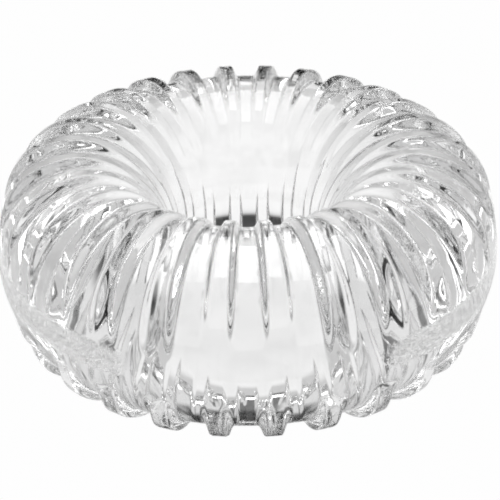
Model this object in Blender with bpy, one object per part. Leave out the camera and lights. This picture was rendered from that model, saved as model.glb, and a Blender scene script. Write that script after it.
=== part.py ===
"""Ribbed glass ring insulator: two pressed glass halves on a clear bonding film.

The ring stands on the ground crests of its lower ribs.  +Z is the ring's axis,
the origin is under the centre of the hole at the level of the feet, and a
valley between two ribs faces -Y.  All lengths are in metres.
"""

import math

import bmesh
import bpy

# Driving dimensions of the whole ring
OUTER_DIAMETER = 0.150
OVERALL_HEIGHT = 0.0622
HOLE_DIAMETER = 0.047

# Ribs that run over the top half and under the bottom half
RIB_COUNT = 28
RIB_HEIGHT = 0.0030
RIB_SHARE_OF_PITCH = 0.50
FOOT_GRIND = 0.0008

# Joint between the halves
FILM_THICKNESS = 0.0006
FILM_SETBACK = 0.0004
TOUCH_GAP = 0.0003

# Where a rib rises out of the smooth glass, as degrees of roll around the
# section: 0 is the outer waist, 90 the rib's summit and 180 the hole's waist
UPPER_RIB_START = 12.0
LOWER_RIB_START = 8.0
RIB_END = 148.0
RIB_RISE = 22.0

# Mesh density
ROLL_STEPS = 12
FILM_SIDES = 84
RIB_COLUMNS = (0.0, 0.13, 0.25, 0.5, 0.75, 0.87)

# Worked out from the driving dimensions
CENTRE_RADIUS = (OUTER_DIAMETER + HOLE_DIAMETER) / 4
HALF_WIDTH = (OUTER_DIAMETER - HOLE_DIAMETER) / 4
HALF_HEIGHT = (OVERALL_HEIGHT + FOOT_GRIND) / 2
MID_HEIGHT = OVERALL_HEIGHT - HALF_HEIGHT
SEAM_CUT = FILM_THICKNESS / 2 + TOUCH_GAP
PITCH = math.tau / RIB_COUNT

GLASS_COLOUR = (0.93, 0.95, 0.95, 1.0)
FILM_COLOUR = (0.80, 0.82, 0.82, 1.0)


def clear_scene():
    for old in list(bpy.data.objects):
        bpy.data.objects.remove(old, do_unlink=True)


def clear_material(name, colour, roughness):
    material = bpy.data.materials.new(name)
    material.use_nodes = True
    shader = material.node_tree.nodes["Principled BSDF"]
    shader.inputs["Base Color"].default_value = colour
    shader.inputs["Roughness"].default_value = roughness
    shader.inputs["Metallic"].default_value = 0.0
    shader.inputs["Transmission Weight"].default_value = 1.0
    shader.inputs["IOR"].default_value = 1.5
    return material


def smooth_step(value):
    held = min(max(value, 0.0), 1.0)
    return held * held * (3 - 2 * held)


def bare_section(roll):
    """Radius and rise of the elliptical glass between the ribs, and its outward normal."""
    across = math.cos(math.radians(roll))
    up = math.sin(math.radians(roll))
    rise = HALF_HEIGHT - RIB_HEIGHT - SEAM_CUT
    radius = CENTRE_RADIUS + HALF_WIDTH * across
    height = SEAM_CUT + rise * up
    length = math.hypot(across / HALF_WIDTH, up / rise)
    return radius, height, across / HALF_WIDTH / length, up / rise / length


def rib_strength(roll, start):
    """0 in the smooth bands at both waists, 1 where the rib has its full height."""
    return smooth_step((roll - start) / RIB_RISE) * smooth_step((RIB_END - roll) / RIB_RISE)


def rib_profile(share):
    """Height across one pitch as a round bead, counted from the rib's crest."""
    from_crest = min(share, 1 - share) / (RIB_SHARE_OF_PITCH / 2)
    return math.sqrt(max(0.0, 1 - from_crest ** 2))


def half_rows(side, start):
    """Loops of points around the axis, from the outer seam edge over to the inner one."""
    rows = []
    for step in range(ROLL_STEPS + 1):
        roll = 180 * step / ROLL_STEPS
        radius, height, normal_out, normal_up = bare_section(roll)
        lift = RIB_HEIGHT * rib_strength(roll, start)
        row = []
        for rib in range(RIB_COUNT):
            for share in RIB_COLUMNS:
                turn = (rib + 0.5 + share) * PITCH
                raised = lift * rib_profile(share)
                reach = radius + raised * normal_out
                level = MID_HEIGHT + side * (height + raised * normal_up)
                row.append((reach * math.sin(turn), -reach * math.cos(turn), level))
        rows.append(row)
    return rows


def film_rows():
    """The four edges of the thin flat ring between the halves."""
    outer = OUTER_DIAMETER / 2 - FILM_SETBACK
    inner = HOLE_DIAMETER / 2 + FILM_SETBACK
    top = MID_HEIGHT + FILM_THICKNESS / 2
    bottom = MID_HEIGHT - FILM_THICKNESS / 2
    rows = []
    for reach, level in ((outer, bottom), (outer, top), (inner, top), (inner, bottom)):
        turns = [math.tau * side / FILM_SIDES for side in range(FILM_SIDES)]
        rows.append([(reach * math.sin(turn), -reach * math.cos(turn), level) for turn in turns])
    return rows


def grind_feet(mesh_edit):
    """Cut everything below the standing level away and close the cuts with flat faces."""
    everything = mesh_edit.verts[:] + mesh_edit.edges[:] + mesh_edit.faces[:]
    bmesh.ops.bisect_plane(
        mesh_edit, geom=everything, plane_co=(0, 0, 0), plane_no=(0, 0, 1), clear_inner=True
    )
    rims = [edge for edge in mesh_edit.edges if edge.is_boundary]
    bmesh.ops.holes_fill(mesh_edit, edges=rims)


def ring_object(name, rows, material):
    """Join each loop of points to the next, and the last one back to the first."""
    mesh_edit = bmesh.new()
    loops = [[mesh_edit.verts.new(point) for point in row] for row in rows]
    for index, loop in enumerate(loops):
        following = loops[(index + 1) % len(loops)]
        for column in range(len(loop)):
            beside = (column + 1) % len(loop)
            mesh_edit.faces.new((loop[column], loop[beside], following[beside], following[column]))
    bmesh.ops.triangulate(mesh_edit, faces=mesh_edit.faces)
    grind_feet(mesh_edit)
    bmesh.ops.recalc_face_normals(mesh_edit, faces=mesh_edit.faces)
    mesh = bpy.data.meshes.new(name)
    mesh_edit.to_mesh(mesh)
    mesh_edit.free()
    mesh.shade_smooth()
    mesh.set_sharp_from_angle(angle=math.radians(50))
    mesh.materials.append(material)
    placed = bpy.data.objects.new(name, mesh)
    bpy.context.scene.collection.objects.link(placed)
    return placed


def main():
    clear_scene()
    upper_glass = clear_material("upper_glass", GLASS_COLOUR, 0.03)
    lower_glass = clear_material("lower_glass", GLASS_COLOUR, 0.03)
    bonding_film = clear_material("bonding_film", FILM_COLOUR, 0.20)
    ring_object("upper_half", half_rows(1, UPPER_RIB_START), upper_glass)
    ring_object("seam_film", film_rows(), bonding_film)
    ring_object("lower_half", half_rows(-1, LOWER_RIB_START), lower_glass)


main()
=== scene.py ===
import math

import bmesh
import bpy
import numpy as np
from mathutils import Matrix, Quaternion, Vector


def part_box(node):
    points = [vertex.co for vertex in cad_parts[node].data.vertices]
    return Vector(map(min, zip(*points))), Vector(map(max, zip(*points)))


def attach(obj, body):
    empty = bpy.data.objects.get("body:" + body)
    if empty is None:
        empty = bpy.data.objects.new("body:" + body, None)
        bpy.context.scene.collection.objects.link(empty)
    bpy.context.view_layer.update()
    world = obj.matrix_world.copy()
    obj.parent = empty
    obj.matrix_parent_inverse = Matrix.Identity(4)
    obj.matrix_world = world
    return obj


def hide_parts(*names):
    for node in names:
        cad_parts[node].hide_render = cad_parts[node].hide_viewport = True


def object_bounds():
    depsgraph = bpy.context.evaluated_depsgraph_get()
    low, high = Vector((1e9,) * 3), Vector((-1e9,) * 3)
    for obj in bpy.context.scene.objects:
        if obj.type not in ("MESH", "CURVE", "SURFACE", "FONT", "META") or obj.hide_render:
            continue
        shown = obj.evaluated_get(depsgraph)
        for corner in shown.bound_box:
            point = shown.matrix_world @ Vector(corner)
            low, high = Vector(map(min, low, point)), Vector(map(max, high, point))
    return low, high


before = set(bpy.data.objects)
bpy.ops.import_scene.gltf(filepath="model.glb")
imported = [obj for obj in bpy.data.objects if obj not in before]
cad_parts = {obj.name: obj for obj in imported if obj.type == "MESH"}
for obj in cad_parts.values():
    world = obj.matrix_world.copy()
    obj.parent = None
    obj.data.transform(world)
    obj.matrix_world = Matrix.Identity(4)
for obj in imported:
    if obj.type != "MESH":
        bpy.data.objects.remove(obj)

CAD_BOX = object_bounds()
scene = bpy.context.scene

# ---------------------------------------------------------------- dimensions, metres and degrees of roll
# Roll is the angle round the ring's section: 0 on the outer side, 90 on top, 180 in the hole.
# Turn is the angle round the ring: 0 at the front, which is -Y.
film_low, film_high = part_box("seam_film")
OUTER_RADIUS = CAD_BOX[1].x
TOP = CAD_BOX[1].z
SEAM = (film_low.z + film_high.z) / 2
FILM_HALF = (film_high.z - film_low.z) / 2
BOND_GAP = 0.00001            # between the film and the glass on each side of it

HOLE_RADIUS = 0.0235
RIB_COUNT = 28
PITCH = math.tau / RIB_COUNT
UPPER_RIB_HEIGHT = 0.0033
LOWER_RIB_HEIGHT = 0.0031
WAVE_DEPTH = 0.00006          # deepest hollow of the surface's slow unevenness
CENTRE_RADIUS = (OUTER_RADIUS + HOLE_RADIUS) / 2
HALF_WIDTH = (OUTER_RADIUS - HOLE_RADIUS) / 2
RISE = TOP - SEAM - UPPER_RIB_HEIGHT

# How much one rib differs from the next: degrees of roll, share of its width, share of the pitch.
LATE_BY = 2.5
WIDER_BY = 0.04
ASIDE_BY = 0.010

# Across a flank, in shares of it: the thin line of painted shade near its foot, and how far the flank's own
# share reaches.
CREASE_PLACE = 0.95
CREASE_WIDTH = 0.20
FLANK_REACH = 1.6             # in half flanks from the middle of the flank

COLUMNS_PER_PITCH = 32
ROWS_PER_HALF = 168
BAND_ROWS = 2                 # rows of faces across the film's edge
CROWDING = 0.03               # how far the columns are drawn towards the flanks, in shares of the pitch


class Ribs:
    """One half's ribs: rise and fall in degrees of roll, crest, foot and twist in shares of the pitch.

    The two roundings are shares of the flank between the crest and the foot.
    """

    def __init__(self, height, rise, fall, crest, foot, crest_round, foot_round, twist, seed):
        self.height = height
        self.rise = rise
        self.fall = fall
        self.crest = crest
        self.foot = foot
        self.crest_round = crest_round
        self.foot_round = foot_round
        self.twist = twist
        scatter = np.random.default_rng(seed)
        self.late = scatter.uniform(-LATE_BY, LATE_BY, RIB_COUNT)
        self.wide = scatter.uniform(1 - WIDER_BY, 1 + WIDER_BY, RIB_COUNT)
        self.aside = scatter.uniform(-ASIDE_BY, ASIDE_BY, RIB_COUNT)


# Upper ribs are wedges that climb out of the shoulder, cross the top and sink into the hole wall.
UPPER_RIBS = Ribs(
    height=UPPER_RIB_HEIGHT, rise=(7, 54), fall=(80, 152), crest=0.135, foot=0.315,
    crest_round=0.30, foot_round=0.45, twist=0.030, seed=4)
# Lower ribs are steep-sided feet under the ring.
LOWER_RIBS = Ribs(
    height=LOWER_RIB_HEIGHT, rise=(18, 46), fall=(95, 146), crest=0.140, foot=0.280,
    crest_round=0.15, foot_round=0.60, twist=-0.032, seed=9)


# ---------------------------------------------------------------- shape
def smooth(value):
    """Smooth step from 0 to 1."""
    held = np.clip(value, 0.0, 1.0)
    return held * held * (3 - 2 * held)


def flank(across, crest_round, foot_round):
    """Height share from the crest edge (0) to the foot (1): a straight flank with rounded ends."""
    t = np.clip(across, 0, 1)
    slope = 1 / (1 - crest_round / 2 - foot_round / 2)
    near_crest = 1 - slope * t * t / (2 * crest_round)
    straight = 1 - slope * (t - crest_round / 2)
    near_foot = slope * (1 - t) ** 2 / (2 * foot_round)
    return np.where(t < crest_round, near_crest, np.where(t > 1 - foot_round, near_foot, straight))


def rib_lift(ribs, folded, turn):
    """Lift of the surface over the bare ring, with the shares (0 to 1) of flank and of crease.

    Folded is the roll without its sign, so one rule serves the top and the underside.
    """
    place = turn / PITCH - ribs.twist
    which = np.floor(place).astype(int) % RIB_COUNT
    side = np.abs(place - np.floor(place) - 0.5 - ribs.aside[which]) / ribs.wide[which]
    rise_low, rise_high = ribs.rise
    fall_low, fall_high = ribs.fall
    climb = smooth((folded - rise_low - ribs.late[which]) / (rise_high - rise_low))
    sink = smooth((fall_high - folded) / (fall_high - fall_low))
    along = climb * sink
    across = (side - ribs.crest) / (ribs.foot - ribs.crest)
    on_flank = smooth(FLANK_REACH - np.abs(2 * across - 1)) * along
    crease = np.exp(-((across - CREASE_PLACE) / CREASE_WIDTH) ** 2) * along
    return ribs.height * along * flank(across, ribs.crest_round, ribs.foot_round), on_flank, crease


def waviness(roll, turn):
    """Slow unevenness of pressed glass, always a little inside the true surface.

    Each wave has its count round the ring, its count over the section and its phase.
    """
    waves = ((3, 2, 0.4), (5, 3, 1.9), (8, 5, 4.1), (13, 4, 2.6), (21, 7, 5.2))
    total = 0
    for around, over, phase in waves:
        total = total + np.sin(around * turn + over * roll + phase) * np.cos(over * roll - phase)
    return WAVE_DEPTH * (total / len(waves) - 1) / 2


def section_points(roll_degrees, turn):
    """Surface points for a column of rolls and a row of turns, with the flank and crease shares of each."""
    roll = np.radians(roll_degrees)[:, None]
    across, up = np.cos(roll), np.sin(roll)
    length = np.hypot(across / HALF_WIDTH, up / RISE)
    folded = np.degrees(np.arccos(across))
    upper_lift, upper_flank, upper_crease = rib_lift(UPPER_RIBS, folded, turn[None, :])
    lower_lift, lower_flank, lower_crease = rib_lift(LOWER_RIBS, folded, turn[None, :])
    above = up > 0
    lift = np.where(above, upper_lift, lower_lift) + waviness(roll, turn[None, :])
    radius = CENTRE_RADIUS + HALF_WIDTH * across + lift * across / HALF_WIDTH / length
    level = np.maximum(SEAM + RISE * up + lift * up / RISE / length, 0.0)
    points = np.stack([radius * np.sin(turn), -radius * np.cos(turn), level + 0 * turn], -1)
    return points, np.where(above, upper_flank, lower_flank), np.where(above, upper_crease, lower_crease)


def turns():
    """Angles round the ring, closer together on the rib flanks."""
    within = np.linspace(-0.5, 0.5, COLUMNS_PER_PITCH, endpoint=False)
    within = within + CROWDING * np.sin(4 * np.pi * within)
    return ((np.arange(RIB_COUNT)[:, None] + 0.5 + within[None, :]).reshape(-1)) * PITCH


def closed_ring(name, rolls, flat_spans):
    """Ring whose section runs once through rolls; the spans listed in flat_spans are its bonded faces."""
    points, flanks, creases = section_points(rolls, turns())
    rows, columns = points.shape[:2]
    index = np.arange(rows * columns).reshape(rows, columns)
    right = np.roll(index, -1, 1)
    faces = np.stack([index, right, np.roll(right, -1, 0), np.roll(index, -1, 0)], -1).reshape(-1, 4)
    mesh = bpy.data.meshes.new(name)
    mesh.from_pydata(points.reshape(-1, 3).tolist(), [], faces.tolist())
    mesh.shade_smooth()
    slot = np.zeros((rows, columns), dtype=np.int32)
    slot[list(flat_spans)] = 1
    mesh.polygons.foreach_set("material_index", slot.reshape(-1))
    for attribute_name, values in (("flank", flanks), ("crease", creases)):
        share = mesh.attributes.new(attribute_name, "FLOAT", "POINT")
        share.data.foreach_set("value", values.reshape(-1).astype(np.float32))
    edge_rows = {row for span in flat_spans for row in (span, (span + 1) % rows)}
    ends = np.empty(len(mesh.edges) * 2, dtype=np.int32)
    mesh.edges.foreach_get("vertices", ends)
    ends = ends.reshape(-1, 2) // columns
    sharp = (ends[:, 0] == ends[:, 1]) & np.isin(ends[:, 0], list(edge_rows))
    mesh.attributes.new("sharp_edge", "BOOLEAN", "EDGE").data.foreach_set("value", sharp)
    piece = bpy.data.objects.new(name, mesh)
    scene.collection.objects.link(piece)
    return piece


def edge_roll(height):
    """Degrees of roll where the bare section stands this far from the middle of the seam."""
    return math.degrees(math.asin(height / RISE))


def build_upper():
    start = edge_roll(FILM_HALF + BOND_GAP)
    rolls = np.linspace(start, 180 - start, ROWS_PER_HALF)
    return closed_ring("upper_glass", rolls, [ROWS_PER_HALF - 1])


def build_lower():
    start = edge_roll(FILM_HALF + BOND_GAP)
    rolls = np.linspace(180 + start, 360 - start, ROWS_PER_HALF)
    return closed_ring("lower_glass", rolls, [ROWS_PER_HALF - 1])


def build_film():
    edge = edge_roll(FILM_HALF)
    outer = np.linspace(-edge, edge, BAND_ROWS + 1)
    rolls = np.concatenate([outer, 180 + outer])
    return closed_ring("bond_film", rolls, [BAND_ROWS, 2 * BAND_ROWS + 1])


# ---------------------------------------------------------------- materials
GLASS_IOR = 1.5
MATCHED_IOR = 1.0             # light crosses a face of this index unbent
BAND = (0.0005, 0.0055)       # how far from the seam the wrinkles fade out, in metres
STRETCHES = ((-58, 26), (52, 16))   # middle and half length of each wrinkled stretch, degrees of turn
STRETCH_FADE = 8              # degrees over which a stretch begins and ends


class Graph:
    """A new material, with short ways of adding its nodes."""

    def __init__(self, name):
        self.material = bpy.data.materials.new(name)
        self.material.use_nodes = True
        self.nodes = self.material.node_tree.nodes
        self.link = self.material.node_tree.links.new

    def clear_shader(self, ior, roughness):
        """The Principled shader, set to let all light through."""
        shader = self.nodes["Principled BSDF"]
        shader.inputs["Transmission Weight"].default_value = 1.0
        shader.inputs["IOR"].default_value = ior
        shader.inputs["Roughness"].default_value = roughness
        return shader

    def place(self):
        """Object coordinates, in metres."""
        return self.nodes.new("ShaderNodeTexCoord").outputs["Object"]

    def attribute(self, name):
        node = self.nodes.new("ShaderNodeAttribute")
        node.attribute_name = name
        return node.outputs["Fac"]

    def vector(self, operation, value, output):
        node = self.nodes.new("ShaderNodeVectorMath")
        node.operation = operation
        self.link(value, node.inputs[0])
        return node.outputs[output]

    def parts(self, value):
        """X, Y and Z of a vector."""
        node = self.nodes.new("ShaderNodeSeparateXYZ")
        self.link(value, node.inputs[0])
        return node.outputs["X"], node.outputs["Y"], node.outputs["Z"]

    def feed(self, value, socket):
        """Set a socket to a number, or link it to another socket."""
        if isinstance(value, (int, float)):
            socket.default_value = value
        else:
            self.link(value, socket)

    def math(self, operation, *values):
        node = self.nodes.new("ShaderNodeMath")
        node.operation = operation
        for socket, value in zip(node.inputs, values):
            self.feed(value, socket)
        return node.outputs[0]

    def product(self, first, *others):
        for other in others:
            first = self.math("MULTIPLY", first, other)
        return first

    def less(self, share):
        """What a dark share (0 to 1) leaves of the light."""
        return self.math("SUBTRACT", 1.0, share)

    def ramp(self, value, span, at_low, at_high):
        """Smooth step from at_low to at_high as value crosses the span."""
        node = self.nodes.new("ShaderNodeMapRange")
        node.interpolation_type = "SMOOTHSTEP"
        self.link(value, node.inputs["Value"])
        for name, number in zip(("From Min", "From Max", "To Min", "To Max"), (*span, at_low, at_high)):
            node.inputs[name].default_value = number
        return node.outputs[0]

    def noise(self, place, scale, detail):
        node = self.nodes.new("ShaderNodeTexNoise")
        self.link(place, node.inputs["Vector"])
        node.inputs["Scale"].default_value = scale
        node.inputs["Detail"].default_value = detail
        return node.outputs["Fac"]

    def bump(self, height, distance, strength, under=None):
        """Normal bent by height, on top of the normal given as under."""
        node = self.nodes.new("ShaderNodeBump")
        node.inputs["Distance"].default_value = distance
        self.feed(strength, node.inputs["Strength"])
        self.link(height, node.inputs["Height"])
        if under is not None:
            self.link(under, node.inputs["Normal"])
        return node.outputs["Normal"]


def rim_stretches(graph, x, y):
    """Where the seam is wrinkled: one long stretch at the left front, a short one at the right."""
    turn = graph.math("ARCTAN2", x, graph.math("MULTIPLY", y, -1))
    total = None
    for middle, half in STRETCHES:
        off = graph.math("ABSOLUTE", graph.math("SUBTRACT", turn, math.radians(middle)))
        ends = (math.radians(half - STRETCH_FADE), math.radians(half + STRETCH_FADE))
        share = graph.ramp(off, ends, 1.0, 0.0)
        total = share if total is None else graph.math("MAXIMUM", total, share)
    return total


def crease_painted_shade(graph, place):
    """Colour of the glass: clear, with painted shade in broken thin dark lines along the foot of each
    flank.
    """
    broken = graph.ramp(graph.noise(place, scale=160, detail=2.0), (0.40, 0.58), 0.25, 1.0)
    line = graph.product(graph.attribute("crease"), broken)
    return graph.ramp(line, (0.35, 0.95), 0.987, 0.66)


def flank_grain(graph, place):
    """Fine mould grain, in patches on the flanks of the ribs."""
    patch = graph.ramp(graph.noise(place, scale=38, detail=1.0), (0.58, 0.68), 0.0, 1.0)
    share = graph.product(graph.attribute("flank"), patch)
    return graph.bump(graph.noise(place, scale=1300, detail=2.0), distance=0.00006, strength=share)


def seam_wrinkles(graph, place, under):
    """Wrinkles in a narrow band above and below the seam."""
    x, y, z = graph.parts(place)
    from_seam = graph.math("ABSOLUTE", graph.math("SUBTRACT", z, SEAM))
    share = graph.product(graph.ramp(from_seam, BAND, 1.0, 0.0), rim_stretches(graph, x, y))
    return graph.bump(graph.noise(place, scale=520, detail=3.0), 0.0042, share, under)


def clear_glass():
    """Pressed soda glass: painted shade in thin lines at the rib feet, mould grain, wrinkles along the seam
    and a faint chill ripple.
    """
    graph = Graph("clear_glass")
    shader = graph.clear_shader(GLASS_IOR, 0.0)
    place = graph.place()
    # The base colour carries painted shade: dark lines along the foot of each rib flank.
    graph.link(crease_painted_shade(graph, place), shader.inputs["Base Color"])
    wrinkles = seam_wrinkles(graph, place, flank_grain(graph, place))
    ripple = graph.bump(graph.noise(place, scale=110, detail=1.0), 0.0005, 0.12, wrinkles)
    graph.link(ripple, shader.inputs["Normal"])
    return graph.material


def matched_joint():
    """The bonded faces: index-matched, so light crosses them unbent, with faint clouds in the bond."""
    graph = Graph("matched_joint")
    shader = graph.clear_shader(MATCHED_IOR, 0.0)
    shader.inputs["Specular IOR Level"].default_value = 0.0
    clouds = graph.noise(graph.place(), scale=90, detail=3.0)
    graph.link(graph.ramp(clouds, (0.40, 0.75), 1.0, 0.97), shader.inputs["Base Color"])
    return graph.material


def film_edge():
    """Outer edge of the bond film: clear, with fine wrinkles where it was squeezed out."""
    graph = Graph("bonding_film")
    shader = graph.clear_shader(GLASS_IOR, 0.02)
    shader.inputs["Base Color"].default_value = (0.97, 0.97, 0.965, 1)
    place = graph.place()
    x, y, _ = graph.parts(place)
    stretch = rim_stretches(graph, x, y)
    wrinkles = graph.bump(graph.noise(place, scale=900, detail=2.0), distance=0.0006, strength=stretch)
    graph.link(wrinkles, shader.inputs["Normal"])
    return graph.material


glass = clear_glass()
joint = matched_joint()
edge = film_edge()
for piece, node_name, slot_name, skin in (
        (build_upper(), "upper_half", "clear_glass", glass),
        (build_lower(), "lower_half", "clear_glass", glass),
        (build_film(), "seam_film", "bonding_film", edge)):
    piece.data.materials.append(skin)
    piece.data.materials.append(joint)
    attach(piece, "root")
    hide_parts(node_name)


# ---------------------------------------------------------------- studio, metres
PAPER_WHITE = 0.99            # the floor and the world, which only the camera sees
FLOOR_LEVEL = -0.0002
FLOOR_HALF = 3.0
TABLE_LEVEL = -0.0004
TABLE_HALF = 2.4
TENT_RADIUS = 2.5
SOFTBOX_HALF = 0.75
SOFTBOX_FRONT = -0.49
SOFTBOX_BACK = 1.4
SOFTBOX_LEVEL = 1.6
BOUNCES = 24


def glow_material(name, strength_of):
    """Emission whose strength is a number, or is made from the object coordinates by strength_of."""
    graph = Graph(name)
    graph.nodes.remove(graph.nodes["Principled BSDF"])
    glow = graph.nodes.new("ShaderNodeEmission")
    strength = strength_of(graph, graph.place()) if callable(strength_of) else strength_of
    graph.feed(strength, glow.inputs["Strength"])
    graph.link(glow.outputs[0], graph.nodes["Material Output"].inputs["Surface"])
    return graph.material


def table_strength(graph, place):
    """Light table: shaded in a ring under the glass, darkest at the front, and fading out all round."""
    distance = graph.vector("LENGTH", place, "Value")
    _, y, _ = graph.parts(place)
    inside = graph.ramp(distance, (0.026, 0.040), 0.0, 1.0)
    outside = graph.ramp(distance, (0.070, 0.105), 1.0, 0.0)
    darkness = graph.ramp(y, (-0.060, -0.048), 0.98, 0.40)
    unshaded = graph.less(graph.product(inside, outside, darkness))
    centre = graph.ramp(distance, (0.020, 0.036), 0.90, 1.0)
    around = graph.ramp(distance, (0.15, 0.45), 0.98, 0.45)
    ahead = graph.ramp(y, (-0.25, -0.090), 0.08, 1.0)
    behind = graph.ramp(y, (0.20, 0.70), 1.0, 0.08)
    return graph.product(unshaded, centre, around, ahead, behind)


def tent_strength(graph, place):
    """Soft tent round the ring, by direction: brighter low down and behind, with four kinds of dark gap."""
    x, y, z = graph.parts(graph.vector("NORMALIZE", place, "Vector"))
    glow = graph.math(
        "ADD", graph.ramp(z, (0.12, 0.26), 0.38, 0.0), graph.ramp(y, (0.10, 0.60), 0.72, 0.78))
    # Low behind the ring.
    low_back = graph.product(
        graph.ramp(y, (0.55, 0.85), 0.0, 1.0), graph.ramp(z, (0.30, 0.44), 1.0, 0.0))
    # High over the camera.
    high_front = graph.product(
        graph.ramp(y, (-0.82, -0.45), 1.0, 0.0), graph.ramp(z, (0.30, 0.50), 0.0, 1.0))
    # A darker patch on each side, at middle height and towards the camera.
    side = graph.product(
        graph.ramp(graph.math("ABSOLUTE", x), (0.40, 0.70), 0.0, 0.60),
        graph.ramp(z, (0.24, 0.34), 0.0, 1.0),
        graph.ramp(z, (0.52, 0.66), 1.0, 0.0),
        graph.ramp(y, (-0.30, -0.05), 1.0, 0.0))
    # Nine upright poles, which don't reach the ground and are a little fainter at the back.
    azimuth = graph.math("ARCTAN2", x, y)
    poles = graph.product(
        graph.ramp(graph.math("COSINE", graph.math("MULTIPLY", azimuth, 9.0)), (0.60, 0.88), 0.0, 0.95),
        graph.ramp(z, (0.16, 0.26), 0.0, 1.0),
        graph.ramp(y, (0.20, 0.70), 1.0, 0.85))
    return graph.product(
        glow, graph.less(low_back), graph.less(high_front), graph.less(side), graph.less(poles))


def softbox_strength(graph, place):
    """One large softbox, brightest along its middle and softer at its front edge."""
    x, y, _ = graph.parts(place)
    across = graph.ramp(graph.math("ABSOLUTE", x), (0.12, 0.70), 4.8, 1.5)
    front_edge = graph.ramp(y, (SOFTBOX_FRONT, -0.44), 0.25, 1.0)
    return graph.product(across, front_edge)


def add_stage(name, mesh, material):
    mesh.materials.append(material)
    prop = bpy.data.objects.new(name, mesh)
    scene.collection.objects.link(prop)
    return prop


def sheet(name, half_x, low_y, high_y, level, material):
    """Flat level rectangle."""
    mesh = bpy.data.meshes.new(name)
    corners = [(x, y, level) for x, y in (
        (-half_x, low_y), (half_x, low_y), (half_x, high_y), (-half_x, high_y))]
    mesh.from_pydata(corners, [], [(0, 1, 2, 3)])
    return add_stage(name, mesh, material)


def light_tent(radius):
    mesh = bpy.data.meshes.new("card_tent")
    shape = bmesh.new()
    bmesh.ops.create_uvsphere(shape, u_segments=48, v_segments=24, radius=radius)
    shape.to_mesh(mesh)
    shape.free()
    return add_stage("card_tent", mesh, glow_material("tent_glow", tent_strength))


def build_world():
    """Paper white behind everything, for the camera only."""
    world = bpy.data.worlds.new("world")
    scene.world = world
    world.use_nodes = True
    world.node_tree.nodes["Background"].inputs["Color"].default_value = (1, 1, 1, 1)
    world.node_tree.nodes["Background"].inputs["Strength"].default_value = PAPER_WHITE
    world.cycles_visibility.diffuse = False
    world.cycles_visibility.glossy = False
    world.cycles_visibility.transmission = False


def build_stage():
    """A white floor that only the camera sees, and lights that only the glass sees."""
    paper = glow_material("floor_paper", PAPER_WHITE)
    floor = sheet("floor", FLOOR_HALF, -FLOOR_HALF, FLOOR_HALF, FLOOR_LEVEL, paper)
    floor.visible_glossy = floor.visible_transmission = floor.visible_diffuse = False
    table_glow = glow_material("table_glow", table_strength)
    table = sheet("floor_light", TABLE_HALF, -TABLE_HALF, TABLE_HALF, TABLE_LEVEL, table_glow)
    tent = light_tent(TENT_RADIUS)
    softbox_glow = glow_material("softbox", softbox_strength)
    softbox = sheet("card_top", SOFTBOX_HALF, SOFTBOX_FRONT, SOFTBOX_BACK, SOFTBOX_LEVEL, softbox_glow)
    for light in (table, tent, softbox):
        light.visible_camera = False
    build_world()


# ---------------------------------------------------------------- camera
ELEVATION = math.radians(30.56)
AZIMUTH = math.radians(0.40)
TILT = math.radians(-0.63)
DISTANCE = 6.503 * OUTER_RADIUS
LENS = 115.8                  # millimetres, on a sensor 36 mm wide
AIM_RIGHT = 0.00071           # metres from the middle of the ring, as the camera sees it
AIM_DOWN = 0.00420


def build_camera():
    data = bpy.data.cameras.new("camera")
    data.sensor_width = 36
    data.lens = LENS
    data.clip_start = 0.01
    camera = bpy.data.objects.new("camera", data)
    scene.collection.objects.link(camera)
    scene.camera = camera
    level = math.cos(ELEVATION)
    toward = Vector((level * math.sin(AZIMUTH), -level * math.cos(AZIMUTH), math.sin(ELEVATION)))
    target = Vector((0, 0, SEAM))
    right = Vector((0, 0, 1)).cross(toward).normalized()
    up = toward.cross(right)
    aim = target + AIM_RIGHT * right - AIM_DOWN * up
    camera.location = target + DISTANCE * toward
    camera.rotation_mode = "QUATERNION"
    facing = (aim - camera.location).to_track_quat("-Z", "Y")
    camera.rotation_quaternion = facing @ Quaternion((0, 0, 1), TILT)


build_stage()
build_camera()
scene.view_settings.view_transform = "Standard"
scene.cycles.max_bounces = BOUNCES
scene.cycles.transmission_bounces = BOUNCES
scene.cycles.glossy_bounces = BOUNCES
scene.cycles.filter_width = 2.0
scene.cycles.caustics_refractive = True
scene.cycles.caustics_reflective = True
